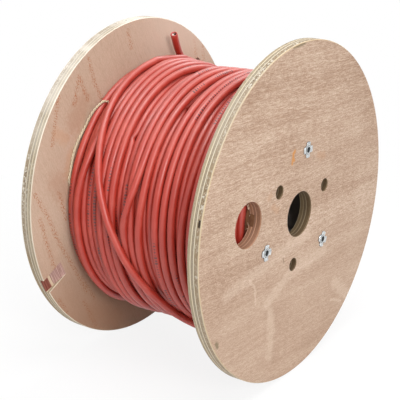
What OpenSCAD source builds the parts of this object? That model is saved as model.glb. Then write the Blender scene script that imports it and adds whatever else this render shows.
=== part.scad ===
// Plywood cable reel, full of two-core cable.
// The reel's axis is Y. The drilled flange with the access hole faces -Y, and +Z is up.
// The origin is the middle of the reel. Angles turn from +X towards +Z.

/* [Flanges] */
// Outside diameter of both plywood flanges
flange_d = 400; // [376:2:480]
// Thickness of each flange
flange_t = 15; // [12:0.5:18]
// Break on the rim edges
rim_break = 0.8; // [0.2:0.1:2]
// Diameter of the arbor bore through both flanges
arbor_d = 54; // [30:1:70]

/* [Drum] */
// Clear width between the flanges
traverse = 216; // [180:2:260]
// Outside diameter of the fibre drum tube
drum_d = 170; // [165:1:190]
// Wall of the drum tube
drum_wall = 4; // [3:0.5:5]
// Depth of the groove that the tube stands in, in each flange
groove_depth = 6; // [3:0.5:8]

/* [Drive and access holes] */
// Diameter of the three drive-pin holes
drive_hole_d = 16; // [10:0.5:20]
// Pitch circle of the drive-pin holes
drive_pcd = 120; // [105:1:124]
// Angle of the first drive-pin hole
drive_angle = 19; // [10:1:28]
// Diameter of the access hole for the cable's inner end
access_d = 52; // [30:1:54]
// Distance of the access hole from the axis
access_r = 110; // [105:1:118]
// Angle of the access hole
access_angle = 169.5; // [165:0.5:175]

/* [Tie bolts] */
// Thread diameter of the tie bolts
bolt_d = 6; // [5:0.5:7]
// Pitch circle of the tie bolts
bolt_pcd = 150; // [144:1:150]
// Angle of the first tie bolt
bolt_angle = 79; // [70:1:88]
// Across the flats of a bolt head
head_flats = 10; // [8:0.5:12]
// Height of a bolt head
head_h = 4; // [3:0.25:5]
// Diameter of a washer
washer_d = 18; // [14:0.5:20]
// Thickness of a washer
washer_t = 1.6; // [1:0.1:2.5]

/* [Tee nuts] */
// Diameter of a tee nut's plate
nut_plate_d = 19; // [17:0.5:22]
// Thickness of the plate and its prongs
nut_plate_t = 1.2; // [1:0.1:1.6]
// Outside diameter of the threaded barrel
nut_barrel_d = 8; // [7.5:0.1:9]
// Length of the barrel inside the wood
nut_barrel_l = 10; // [8:0.5:11]
// Width of a prong at its root
prong_w = 4.6; // [3:0.2:5]
// Length of a prong inside the wood
prong_l = 6; // [4:0.5:8]

/* [Cable] */
// Outside diameter of the cable
cable_d = 8.8; // [6.5:0.1:9.6]
// Outside diameter of the cable's lower layers
bulk_d = 286; // [240:2:292]
// Most turns that the outer layer has
max_turns = 23; // [10:1:23]
// Least gap between two turns
turn_gap = 0.5; // [0.45:0.05:1.5]
// Gap between the end turns and the flanges
side_gap = 0.4; // [0.3:0.1:1]
// How far the winding falls away beside the rear flange
dip_depth = 17; // [0:1:22]
// Width of the band in which it falls away
dip_w = 24; // [20:1:40]
// Diameter of each insulated core inside the cable
core_d = 2.6; // [2:0.1:2.8]
// Distance between the two cores' middles
core_pitch = 3; // [2.9:0.1:3.4]
// Diameter of each copper conductor
wire_d = 1.2; // [0.8:0.1:1.6]
// Length of the straight cable at the cut end
cut_l = 10; // [6:1:16]

/* [Cable ties and marks] */
// Room that a tie hole has round the cable
tie_clear = 6; // [5.8:0.2:8]
// Diameter of the twine beside the rear flange
twine_d = 3; // [2:0.2:3.4]
// Width of the ramped notch in the rear flange's rim
notch_w = 20; // [10:1:30]
// Length of the notch from the rim inwards
notch_l = 34; // [20:1:40]
// Depth of the notch at the rim
notch_depth = 5.5; // [2:0.5:8]
// Angle of the notch
notch_angle = -154.5; // [-170:0.5:-140]

/* [Hidden] */
$fn = 96;

third = 120;
through = 1;
inner = traverse / 2;
outer = inner + flange_t;
cable_r = cable_d / 2;

// Clearances between pieces that fit together
groove_clear = 0.2;
bolt_clear = 0.5;
thread_clear = 0.05;
barrel_clear = 0.15;
prong_clear = 0.15;
bulk_clear = 0.3;
core_clear = 0.1;
wire_clear = 0.05;

// The prongs stand this far from the nut's axis, and the bolt ends below the plate
prong_r = nut_barrel_d / 2 + 2.2;
prong_tip = 0.8;
bolt_setback = 2;
// Slope of the chamfer that rounds off a bolt head's corners
head_slope = 0.6;

// Winding: rings of the tube in one turn, sides of its section
loop_rings = 24;
loop_sides = 6;
loop_step = 360 / loop_rings;
seat_gap = 0.2;
ring_rise = bulk_d / 2 * (1 - cos(loop_step / 2)) + seat_gap;
turns = min(max_turns, floor((traverse - cable_d - 2 * side_gap) / (cable_d + turn_gap)));
turn_pitch = (traverse - cable_d - 2 * side_gap) / turns;
first_y = inner - side_gap - cable_r;
dip_low = inner - cable_d;
dip_top = dip_low - dip_w;
dip_slope = atan(dip_depth / dip_w);
dip_shift = cable_r * tan(dip_slope / 2);

// The last turn leaves the front flange, climbs on the layer and crosses to the rear
cross_angle = -52;
cross_rings = 15;
cross_sweep = 193;
cross_rest = 32;
drift_from = 150;
drift_sweep = 90;
climb_share = 0.1;
ride_gap = 0.5;
riser_tilt = 25;
riser_l = 50;

// The two holes that lace the cable's end through the rear flange: x, z
tie_hole_1 = [122, 123.5];
tie_hole_2 = [82, 134];

// The free end's route: x, distance behind the rear flange's inner face, z
end_route = [
    [61, -25.5, 143.3], [68, -25, 140.8], [75, -24, 137.8], [82, -22.5, 134.8],
    [89, -20.5, 131.8], [95.5, -18.5, 129], [101.5, -16, 126.8], [107.5, -13, 125.2],
    [113, -9.5, 124], [117, -5, 123.2], [119.8, 0, 122.9], [121.5, 6, 122.9],
    [123, 12, 123], [125, 18, 123], [126.8, 24, 123], [127.2, 30, 123],
    [125.2, 36.5, 123.5], [121.2, 42, 124.5], [115.8, 46, 125.5], [109.4, 48.5, 127],
    [102.7, 49.5, 128.5], [96, 48.5, 130], [90, 46, 131.5], [85, 42, 133],
    [81.5, 36.5, 134], [79.5, 30, 134.5], [79, 24, 134.5], [80, 17.5, 134],
    [81, 11, 134], [81.5, 5, 134], [80.5, -1, 135], [78, -6.5, 137],
    [73.5, -11, 139.8], [67.8, -14, 144], [61.8, -15.7, 149.3], [56.6, -17, 155.8],
    [52.4, -18.1, 162.2], [48.6, -19.2, 168.7]];
route_sides = 8;
route_up = [0.4, 0, 0.9];

// The twine lies between the rear flange and the winding's lowest turn
twine_from = 118;
twine_to = 178;
twine_gap = 0.3;
twine_y = inner - twine_gap - twine_d / 2;
twine_reach = cable_r + twine_d / 2 + twine_gap;
twine_r = layer_r(first_y) + sqrt(pow(twine_reach, 2) - pow(twine_y - first_y, 2));

wood = "#d2b096";
steel = "#b9bcbf";
cable_red = "#c8463a";

function unit(v) = v / norm(v);
function polar(r, a, y) = [r * cos(a), y, r * sin(a)];
function clamp01(t) = max(0, min(1, t));
function ease(t) = clamp01(t) * clamp01(t) * (3 - 2 * clamp01(t));

// Radius of the lower layers, and of the middle of the outer layer's turns, at y
function bulk_r(y) = lookup(y, [[dip_top, bulk_d / 2], [dip_low, bulk_d / 2 - dip_depth]]);
function layer_r(y) = bulk_r(y - dip_shift) + cable_r + ring_rise;

// Ring k of the outer layer, from the rear flange to the front one
function layer_y(k) = first_y - turn_pitch * k / loop_rings;
function layer_point(k) =
    polar(layer_r(layer_y(k)), cross_angle - loop_step * k, layer_y(k));

// The last turn, after it has gone round by angle a from the front flange
function cross_y(a) =
    -first_y + (inner - cross_rest + first_y) * ease(a / cross_sweep)
    + (cross_rest + end_route[0].y) * ease((a - drift_from) / drift_sweep);
function cross_r(a) =
    layer_r(-first_y) + (cable_d + ride_gap) * ease(a / cross_sweep / climb_share);
function cross_point(k) =
    polar(cross_r(loop_step * k), cross_angle - loop_step * k, cross_y(loop_step * k));

// The winding comes up out of the lower layers on a short straight
start_dir = [
    sin(riser_tilt) * cos(cross_angle) + cos(riser_tilt) * sin(cross_angle), 0,
    sin(riser_tilt) * sin(cross_angle) - cos(riser_tilt) * cos(cross_angle)];
start_point = layer_point(0) - cable_d * start_dir;

route_points = [for (p = end_route) [p.x, inner + p.y, p.z]];
route_dir = unit(route_points[1] - route_points[0]);
cut_dir = unit(route_points[len(route_points) - 1] - route_points[len(route_points) - 2]);
cut_point = route_points[len(route_points) - 1];
cut_over = unit(cross(cut_dir, [1, 0, 0]));
cut_side = cross(cut_over, cut_dir);

winding_points = concat(
    [start_point],
    [for (k = [0:turns * loop_rings]) layer_point(k)],
    [for (k = [1:cross_rings]) cross_point(k)],
    [route_points[0] - cable_d * route_dir, route_points[0]]);
winding_ups = [for (p = winding_points) [p.x, 0, p.z]];
route_ups = [for (p = route_points) route_up];

// Direction of travel at point i, and the ring of a tube there
function heading(points, i) =
    unit(points[min(i + 1, len(points) - 1)] - points[max(i - 1, 0)]);
function ring(points, ups, i, r, sides) =
    let (
        t = heading(points, i),
        b = unit(cross(t, ups[i])),
        n = cross(b, t)
    )
    [for (k = [0:sides - 1])
        points[i] + r * cos(360 * k / sides) * b + r * sin(360 * k / sides) * n];

// Distance from a point to the straight between a and b
function straight_gap(p, a, b) =
    let (t = clamp01(((p - a) * (b - a)) / ((b - a) * (b - a))))
    norm(p - a - t * (b - a));
// Least gap that a tube leaves to itself, past its own neighbouring rings
function self_gap(points, d, skip) =
    min([for (i = [0:len(points) - 1])
        for (j = [i + skip:1:len(points) - 2])
            straight_gap(points[i], points[j], points[j + 1])]) - d;

// Places its children at angle a, with X outwards and Z along the turn
module at_angle(a, r = 0) {
    rotate([0, -a, 0]) translate([r, 0, 0]) children();
}

// A cylinder along Y from y
module rod(y, h, d, fn = $fn) {
    translate([0, y, 0]) rotate([-90, 0, 0]) cylinder(h = h, d = d, $fn = fn);
}

// A tube along points, closed by a flat face at each end
module tube(points, ups, d, sides) {
    last = (len(points) - 1) * sides;
    polyhedron(
        points = [for (i = [0:len(points) - 1]) each ring(points, ups, i, d / 2, sides)],
        faces = concat(
            [for (k = [1:sides - 2]) [0, k, k + 1]],
            [for (i = [0:len(points) - 2]) for (k = [0:sides - 1]) let (m = (k + 1) % sides)
                each [
                    [i * sides + k, (i + 1) * sides + k, (i + 1) * sides + m],
                    [i * sides + k, (i + 1) * sides + m, i * sides + m]]],
            [for (k = [1:sides - 2]) [last, last + k + 1, last + k]]));
}

// A plywood disc from y, with broken rim edges
module flange_blank(y) {
    r = flange_d / 2;
    translate([0, y, 0]) rotate([-90, 0, 0]) rotate_extrude() polygon([
        [0, 0], [r - rim_break, 0], [r, rim_break],
        [r, flange_t - rim_break], [r - rim_break, flange_t], [0, flange_t]]);
}

// The bores that both flanges share
module shared_bores(y) {
    rod(y - through, flange_t + 2 * through, arbor_d);
    for (i = [0:2])
        at_angle(drive_angle + third * i, drive_pcd / 2)
            rod(y - through, flange_t + 2 * through, drive_hole_d);
}

// The groove for the drum tube, from y
module drum_groove(y, h) {
    difference() {
        rod(y, h, drum_d + 2 * groove_clear);
        rod(y - through, h + 2 * through, drum_d - 2 * drum_wall - 2 * groove_clear);
    }
}

// Four prongs, or the pockets they stand in, from the front face inwards
module prongs(clear) {
    w = prong_w / 2 + clear;
    tip = prong_tip / 2 + clear;
    for (i = [0:3])
        rotate([0, 90 * i, 0])
            translate([prong_r - clear, -outer, 0])
                rotate([0, 90, 0])
                    linear_extrude(height = nut_plate_t + 2 * clear)
                        polygon([[-w, 0], [w, 0], [tip, prong_l + clear], [-tip, prong_l + clear]]);
}

module front_flange() {
    color(wood) difference() {
        flange_blank(-outer);
        shared_bores(-outer);
        at_angle(access_angle, access_r)
            rod(-outer - through, flange_t + 2 * through, access_d);
        drum_groove(-inner - groove_depth, groove_depth + through);
        for (i = [0:2])
            at_angle(bolt_angle + third * i, bolt_pcd / 2) {
                rod(-outer - through, flange_t + 2 * through, nut_barrel_d + 2 * barrel_clear);
                prongs(prong_clear);
            }
    }
}

module rear_flange() {
    color(wood) difference() {
        flange_blank(inner);
        shared_bores(inner);
        drum_groove(inner - through, groove_depth + through);
        for (i = [0:2])
            at_angle(bolt_angle + third * i, bolt_pcd / 2)
                rod(inner - through, flange_t + 2 * through, bolt_d + 2 * bolt_clear);
        for (hole = [tie_hole_1, tie_hole_2])
            translate([hole[0], 0, hole[1]])
                rod(inner - through, flange_t + 2 * through, cable_d + tie_clear);
        rim_notch();
    }
}

// A ramp cut into the rear flange's inner face, deepest at the rim
module rim_notch() {
    r = flange_d / 2;
    slope = notch_depth / notch_l;
    at_angle(notch_angle) linear_extrude(height = notch_w, center = true) polygon([
        [r - notch_l, inner], [r - notch_l, inner - through],
        [r + through, inner - through], [r + through, inner + notch_depth + through * slope]]);
}

module drum_tube() {
    l = traverse + 2 * groove_depth;
    color("#6b4226") difference() {
        rod(-l / 2, l, drum_d);
        rod(-l / 2 - through, l + 2 * through, drum_d - 2 * drum_wall);
    }
}

// A tee nut: slotted plate on the front face, four prongs and a threaded barrel
module tee_nut(i) {
    color(steel) at_angle(bolt_angle + third * i, bolt_pcd / 2) difference() {
        union() {
            difference() {
                rod(-outer - nut_plate_t, nut_plate_t, nut_plate_d);
                for (k = [0:3])
                    rotate([0, 90 * k, 0])
                        translate([prong_r + nut_plate_t, -outer - nut_plate_t - through, -prong_w / 2])
                            cube([nut_plate_d, nut_plate_t + 2 * through, prong_w]);
            }
            rod(-outer, nut_barrel_l, nut_barrel_d);
            prongs(0);
        }
        rod(-outer - nut_plate_t - through,
            nut_plate_t + nut_barrel_l + 2 * through, bolt_d + 2 * thread_clear);
    }
}

// A long bolt from the rear face, through the drum, into its tee nut
module tie_bolt(i) {
    under_head = outer + washer_t;
    shank_l = under_head + outer - bolt_setback;
    past = head_flats / cos(30) / 2 + through;
    color(steel) at_angle(bolt_angle + third * i, bolt_pcd / 2) {
        rod(under_head - shank_l, shank_l, bolt_d);
        intersection() {
            rod(under_head, head_h, head_flats / cos(30), 6);
            translate([0, under_head, 0]) rotate([-90, 0, 0]) rotate_extrude() polygon([
                [0, 0], [past, 0], [past, head_h - head_slope * (past - head_flats / 2)],
                [head_flats / 2, head_h], [0, head_h]]);
        }
    }
}

module bolt_washer(i) {
    color(steel) at_angle(bolt_angle + third * i, bolt_pcd / 2) difference() {
        rod(outer, washer_t, washer_d);
        rod(outer - through, washer_t + 2 * through, bolt_d + 2 * bolt_clear);
    }
}

// Places its children where the outer layer starts, with Z back into the lower layers
module at_riser() {
    translate(start_point) at_angle(cross_angle) rotate([0, -riser_tilt, 0]) children();
}

// The cable's lower layers, with the short straight that rises to the outer layer
module cable_bulk() {
    edge = inner - bulk_clear;
    bore_r = drum_d / 2 + bulk_clear;
    color("#9c2f27") {
        difference() {
            rotate([-90, 0, 0]) rotate_extrude() polygon([
                [bore_r, -edge], [bulk_d / 2, -edge], [bulk_d / 2, dip_top],
                [bulk_d / 2 - dip_depth, dip_low], [bulk_d / 2 - dip_depth, edge],
                [bore_r, edge]]);
            at_riser() translate([0, 0, -2 * cable_d])
                cylinder(h = 2 * cable_d, d = cable_d + 2 * bulk_clear);
        }
        at_riser() cylinder(h = riser_l, d = cable_d);
    }
}

// One unbroken tube: the outer layer's turns and the last turn that crosses them
module cable_outer_layer() {
    echo(turns = turns, least_gap_mm = self_gap(winding_points, cable_d, loop_rings / 2));
    color(cable_red) tube(winding_points, winding_ups, cable_d, loop_sides);
}

// The cable's end, laced out through one tie hole and back through the other
module cable_end_loop() {
    color(cable_red) tube(route_points, route_ups, cable_d, route_sides);
}

// Places its children on the cut end, with Z along the cable and X from core to core
module at_cut_end() {
    multmatrix([
        [cut_side.x, cut_over.x, cut_dir.x, cut_point.x],
        [cut_side.y, cut_over.y, cut_dir.y, cut_point.y],
        [cut_side.z, cut_over.z, cut_dir.z, cut_point.z],
        [0, 0, 0, 1]]) children();
}

module cable_cut_end() {
    color(cable_red) at_cut_end() difference() {
        cylinder(h = cut_l, d = cable_d);
        for (s = [-1, 1])
            translate([s * core_pitch / 2, 0, -through])
                cylinder(h = cut_l + 2 * through, d = core_d + 2 * core_clear);
    }
}

// One insulated core, hollow for its conductor, on side s
module insulation(s) {
    at_cut_end() translate([s * core_pitch / 2, 0, 0]) difference() {
        cylinder(h = cut_l, d = core_d);
        translate([0, 0, -through])
            cylinder(h = cut_l + 2 * through, d = wire_d + 2 * wire_clear);
    }
}

module core_black() {
    color("#26262a") insulation(1);
}

module core_white() {
    color("#e8e6e0") insulation(-1);
}

module copper_conductors() {
    color("#b8733f") at_cut_end()
        for (s = [-1, 1])
            translate([s * core_pitch / 2, 0, 0]) cylinder(h = cut_l, d = wire_d);
}

module tie_twine() {
    color("#e3d3ac") translate([0, twine_y, 0]) at_angle(twine_to) rotate([-90, 0, 0])
        rotate_extrude(angle = twine_to - twine_from)
            translate([twine_r, 0]) circle(d = twine_d, $fn = 32);
}

front_flange();
rear_flange();
drum_tube();
tee_nut(0);  // tee_nut_1
tee_nut(1);  // tee_nut_2
tee_nut(2);  // tee_nut_3
tie_bolt(0);  // tie_bolt_1
tie_bolt(1);  // tie_bolt_2
tie_bolt(2);  // tie_bolt_3
bolt_washer(0);  // bolt_washer_1
bolt_washer(1);  // bolt_washer_2
bolt_washer(2);  // bolt_washer_3
cable_bulk();
cable_outer_layer();
cable_end_loop();
cable_cut_end();
core_black();
core_white();
copper_conductors();
tie_twine();
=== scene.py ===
import math

import bpy
import numpy as np
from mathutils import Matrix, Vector


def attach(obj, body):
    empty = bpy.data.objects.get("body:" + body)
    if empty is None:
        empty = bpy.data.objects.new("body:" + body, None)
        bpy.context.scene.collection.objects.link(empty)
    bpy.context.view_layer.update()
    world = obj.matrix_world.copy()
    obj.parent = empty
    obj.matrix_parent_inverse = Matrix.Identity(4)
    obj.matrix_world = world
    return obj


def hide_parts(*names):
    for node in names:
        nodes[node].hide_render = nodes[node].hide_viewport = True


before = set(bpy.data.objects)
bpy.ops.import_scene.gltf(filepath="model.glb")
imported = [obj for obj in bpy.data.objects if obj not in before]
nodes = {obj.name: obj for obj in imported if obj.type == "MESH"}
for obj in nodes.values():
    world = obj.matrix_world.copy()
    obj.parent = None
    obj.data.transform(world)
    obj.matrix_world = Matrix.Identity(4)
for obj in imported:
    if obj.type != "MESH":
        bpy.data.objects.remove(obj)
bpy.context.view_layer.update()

# Plywood cable reel, full of red two-core cable. Metres; the reel's axis is Y, the drilled
# flange faces -Y, and angles turn from +X towards +Z.

BODY = "root"
TAU = 2 * math.pi

FLANGE_R = 0.200
INNER = 0.108
OUTER = 0.123
FLANGE_T = OUTER - INNER
DRUM_R = 0.085
CABLE_R = 0.0044

# Winding: turns of the layer under the outer one, turns of the outer one, points in a turn
UNDER_TURNS = 20
TOP_TURNS = 18
STATIONS = 72
CROSS_STATIONS = 45
START_ANGLE = math.radians(-52)
SIDE_GAP = 0.0004
WIND_SEED = 3
WANDER = 0.0050
WANDER_SPREAD = 17
WAVE = 0.0009
WAVE_SPREAD = 6
LAST_ROUNDS = 12
RELAX_ROUNDS = 260
STRAND_GAP = 0.00895
PULL = 0.00012
PUSH = 0.42
SMOOTH_SHARE = 0.22
LAST_SMOOTH_SHARE = 0.10
SECOND_RISE = 0.0082
CROSS_RISE = 0.0172
CABLE_SIDES = 12

# The lower layers' radius, and how it falls away beside the rear flange: the share of the
# full depth and the width of the band at each angle round the reel
FLOOR_R = 0.1388
DIP_DEPTH = 0.020
DIP_ANGLES = (-180, -150, -120, -100, -40, 20, 46, 67, 90, 120, 145, 180)
DIP_SHARES = (0.80, 0.60, 0.32, 0.00, 0.00, 0.30, 0.62, 0.74, 0.74, 0.88, 0.90, 0.80)
DIP_WIDTHS = (28, 28, 28, 28, 28, 32, 40, 40, 34, 28, 28, 28)

# The lower layers' ribs, as high as a strand stands over its neighbours, and their sides
RIB_PITCH = 0.0083
RIB_H = 0.0016
RIB_SINK = 0.0022
SIDE_RIB_H = 0.0015
SIDE_STEP = 0.0005
LOWER_AROUND = 144
LOWER_ROWS = 157
LOWER_SIDE_ROWS = 43
SIDE_TURNS = 6
SIDE_PITCH = 0.0078
SIDE_STATIONS = 90
SIDE_SIDES = 10

# The turns beside the drilled flange lie further back, the further out they are
BACK_FROM = 0.089
BACK_SLOPE = 0.42
BACK_MOST = 0.0085

# The crossing turn: how it comes over to the rear flange
CROSS_SWEEP = 193
CROSS_REST = 0.032
DRIFT_FROM = 150
DRIFT_SWEEP = 90

# The free end's route through the tie holes: x, distance behind the inner face, z, in mm
END_ROUTE = [
    (61, -25.5, 143.3), (68, -25, 140.8), (75, -24, 137.8), (82, -22.5, 134.8),
    (89, -20.5, 131.8), (95.5, -18.5, 129), (101.5, -16, 126.8), (107.5, -13, 125.2),
    (113, -9.5, 124), (117, -5, 123.2), (119.8, 0, 122.9), (121.5, 6, 122.9),
    (123, 12, 123), (125, 18, 123), (126.8, 24, 123), (127.2, 30, 123),
    (125.2, 36.5, 123.5), (121.2, 42, 124.5), (115.8, 46, 125.5), (109.4, 48.5, 127),
    (102.7, 49.5, 128.5), (96, 48.5, 130), (90, 46, 131.5), (85, 42, 133),
    (81.5, 36.5, 134), (79.5, 30, 134.5), (79, 24, 134.5), (80, 17.5, 134),
    (81, 11, 134), (81.5, 5, 134), (80.5, -1, 135), (78, -6.5, 137),
    (73.5, -11, 139.8), (67.8, -14, 144), (61.8, -15.7, 149.3), (56.6, -17, 155.8),
    (52.4, -18.1, 162.2), (48.6, -19.2, 168.7)]
ROUTE_SPLIT = 3
CUT_L = 0.010

# The twine beside the rear flange, two plies: angle, y and radius of its route in mm
PLY_R = 0.00078
PLY_TWIST = 0.0090
PLY_SIDES = 8
TWINE_POINTS = 96
TWINE_ROUTE = [
    (121, 94.2, 141), (124.3, 96, 141), (127.8, 99, 139.5), (132, 102.5, 138), (136.8, 105, 137.5),
    (141.5, 106.3, 138), (146, 106.3, 140), (150.3, 106.3, 141), (154.4, 106.3, 141),
    (158.9, 106.3, 139.8), (162.9, 106.3, 138), (167, 106.3, 136), (172, 106.2, 133.5)]

# Holes and fittings of the drilled flange
ACCESS_AT = (-0.1082, 0.0200, 0)
ACCESS_R = 0.026
NUT_CIRCLE = 0.075
NUT_ANGLE = 79
NUT_OWN_TURNS = (52, 20, 64)
NUT_AROUND = 96
PRONGS = 4

# The prong: height over the wood, nearest and furthest from the nut's axis, half width, in mm
PRONG_ROWS = (
    (0.35, 6.0, 6.9, 2.2), (-0.1, 6.3, 7.25, 2.2), (-0.8, 6.4, 7.35, 2.0),
    (-2.5, 6.4, 7.35, 1.5), (-4.5, 6.4, 7.35, 0.85), (-5.9, 6.6, 7.1, 0.35))
# share of painted shade and grime on the prongs, which sit in shade under the plate
PRONG_SHADE_AND_GRIME = 0.8

# Torn slivers in the access hole: angle, lift, length, curl and half width, in degrees and mm
SLIVERS = (
    (32, 0.3, 9.0, 1.5, 0.55), (24, 0.2, 7.0, -1.9, 0.45), (40, 0.1, 5.0, 0.9, 0.40),
    (-24, 0.2, 8.5, -0.5, 0.50), (-33, 0.1, 5.5, 0.6, 0.40), (2, 0.1, 3.5, 0.4, 0.35))
SLIVER_STEPS = 14

scene = bpy.context.scene


# ---------------------------------------------------------------- camera

CAMERA_PLACE = (-1.0230, -0.7081, 0.4417)
CAMERA_LOOK = (0.7672, 0.5438, -0.3404)
CAMERA_LENS = 98.22


def set_camera():
    data = bpy.data.cameras.new("photo_camera")
    data.lens = CAMERA_LENS
    data.sensor_width = 36.0
    camera = bpy.data.objects.new("photo_camera", data)
    scene.collection.objects.link(camera)
    camera.location = CAMERA_PLACE
    camera.rotation_euler = Vector(CAMERA_LOOK).to_track_quat("-Z", "Y").to_euler()
    scene.camera = camera


# ---------------------------------------------------------------- node helpers

def put(tree, kind, inputs=None, **settings):
    """A node with its settings, and its inputs linked or set by name or number."""
    made = tree.nodes.new(kind)
    for name, value in settings.items():
        setattr(made, name, value)
    for key, value in (inputs or {}).items():
        if isinstance(value, bpy.types.NodeSocket):
            tree.links.new(value, made.inputs[key])
        else:
            made.inputs[key].default_value = value
    return made


def calc(tree, operation, *values, clamp=False):
    inputs = dict(enumerate(values))
    return put(tree, "ShaderNodeMath", inputs, operation=operation, use_clamp=clamp).outputs[0]


# ---------------------------------------------------------------- mesh helpers

def ease(t):
    t = np.clip(t, 0, 1)
    return t * t * (3 - 2 * t)


def smooth_noise(count, spread, rng):
    """Noise of unit height that changes over about `spread` steps."""
    reach = np.arange(-3 * spread, 3 * spread + 1)
    kernel = np.exp(-0.5 * (reach / spread) ** 2)
    kernel /= np.sqrt((kernel ** 2).sum())
    return np.convolve(rng.standard_normal(count + len(kernel) - 1), kernel, "valid")


def make_object(name, vertices, faces, uvs=None, smooth=True):
    """A mesh object from points, faces and, where given, one UV pair a face corner."""
    mesh = bpy.data.meshes.new(name)
    mesh.from_pydata([tuple(v) for v in vertices], [], [tuple(f) for f in faces])
    if uvs is not None:
        layer = mesh.uv_layers.new(name="UVMap")
        layer.data.foreach_set("uv", np.asarray(uvs, dtype=np.float32).ravel())
    mesh.polygons.foreach_set("use_smooth", [smooth] * len(mesh.polygons))
    mesh.validate()
    mesh.update()
    made = bpy.data.objects.new(name, mesh)
    scene.collection.objects.link(made)
    return made


def carried_frames(points, first_up):
    """Directions across a line at each point, carried along it without twist."""
    points = np.asarray(points, dtype=float)
    ahead = np.gradient(points, axis=0)
    ahead /= np.linalg.norm(ahead, axis=1)[:, None]
    side = np.cross(ahead[0], np.asarray(first_up, dtype=float))
    side /= np.linalg.norm(side)
    sides = []
    for t in ahead:
        side = side - t * float(side @ t)
        side /= np.linalg.norm(side)
        sides.append(side)
    sides = np.array(sides)
    return sides, np.cross(sides, ahead)


def tube_parts(points, radii, sides, first_up):
    """Vertices, faces and UVs of a tube along points, closed at both ends."""
    points = np.asarray(points, dtype=float)
    across, over = carried_frames(points, first_up)
    turn = TAU * np.arange(sides) / sides
    ring = (across[:, None, :] * np.cos(turn)[None, :, None]
            + over[:, None, :] * np.sin(turn)[None, :, None])
    radii = np.broadcast_to(np.asarray(radii, dtype=float), (len(points),))
    vertices = (points[:, None, :] + ring * radii[:, None, None]).reshape(-1, 3)
    steps = np.linalg.norm(np.diff(points, axis=0), axis=1)
    along = np.concatenate([[0], np.cumsum(steps)])
    faces = []
    uvs = []
    for i in range(len(points) - 1):
        for k in range(sides):
            m = (k + 1) % sides
            faces.append((i * sides + k, (i + 1) * sides + k, (i + 1) * sides + m, i * sides + m))
            low, high = k / sides, (k + 1) / sides
            uvs += [(along[i], low), (along[i + 1], low), (along[i + 1], high), (along[i], high)]
    last = (len(points) - 1) * sides
    faces.append(tuple(range(sides)))
    faces.append(tuple(last + k for k in range(sides - 1, -1, -1)))
    uvs += [(along[0], 0.5)] * sides + [(along[-1], 0.5)] * sides
    return vertices, faces, uvs


def join_parts(parts):
    vertices, faces, uvs = [], [], []
    for some_vertices, some_faces, some_uvs in parts:
        base = len(vertices)
        vertices += [tuple(v) for v in some_vertices]
        faces += [tuple(base + i for i in face) for face in some_faces]
        uvs += list(some_uvs)
    return vertices, faces, uvs


def rounded_line(points, split):
    """A smooth line through the points, each step split in equal shares."""
    points = np.asarray(points, dtype=float)
    padded = np.vstack([2 * points[0] - points[1], points, 2 * points[-1] - points[-2]])
    out = []
    for i in range(1, len(padded) - 2):
        a, b, c, d = padded[i - 1:i + 3]
        for t in np.arange(split) / split:
            out.append(0.5 * (2 * b + (c - a) * t + (2 * a - 5 * b + 4 * c - d) * t * t
                              + (3 * b - a - 3 * c + d) * t ** 3))
    out.append(points[-1])
    return np.array(out)


# ---------------------------------------------------------------- winding

def round_reel(angle, values):
    """A value listed at DIP_ANGLES, at some angle round the reel."""
    turned = np.degrees(np.mod(angle + math.pi, TAU) - math.pi)
    return np.interp(turned, DIP_ANGLES, values)


def floor_r(y, angle):
    """Radius of the lower layers at a place on the reel."""
    width = round_reel(angle, DIP_WIDTHS) / 1000
    share = round_reel(angle, DIP_SHARES)
    dip = DIP_DEPTH * ease((y - (INNER - width)) / (width - 0.004)) * share
    swell = 0.0012 * np.sin(3 * angle + 40 * y) + 0.0010 * np.sin(2 * angle - 31 * y + 1.7)
    return FLOOR_R + swell - dip


def set_back(r):
    """How far the turns beside the drilled flange lie back from it."""
    rise = np.clip(BACK_SLOPE * (r - BACK_FROM), 0, BACK_MOST)
    return rise * (1 - ease((r - 0.118) / 0.016))


def crossing_y(turned):
    """Place along the axis of the crossing turn, after it has turned by some degrees."""
    edge = INNER - SIDE_GAP - CABLE_R
    end_y = END_ROUTE[0][1] / 1000
    return (-edge + (INNER - CROSS_REST + edge) * ease(turned / CROSS_SWEEP)
            + (CROSS_REST + end_y) * ease((turned - DRIFT_FROM) / DRIFT_SWEEP))


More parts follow.
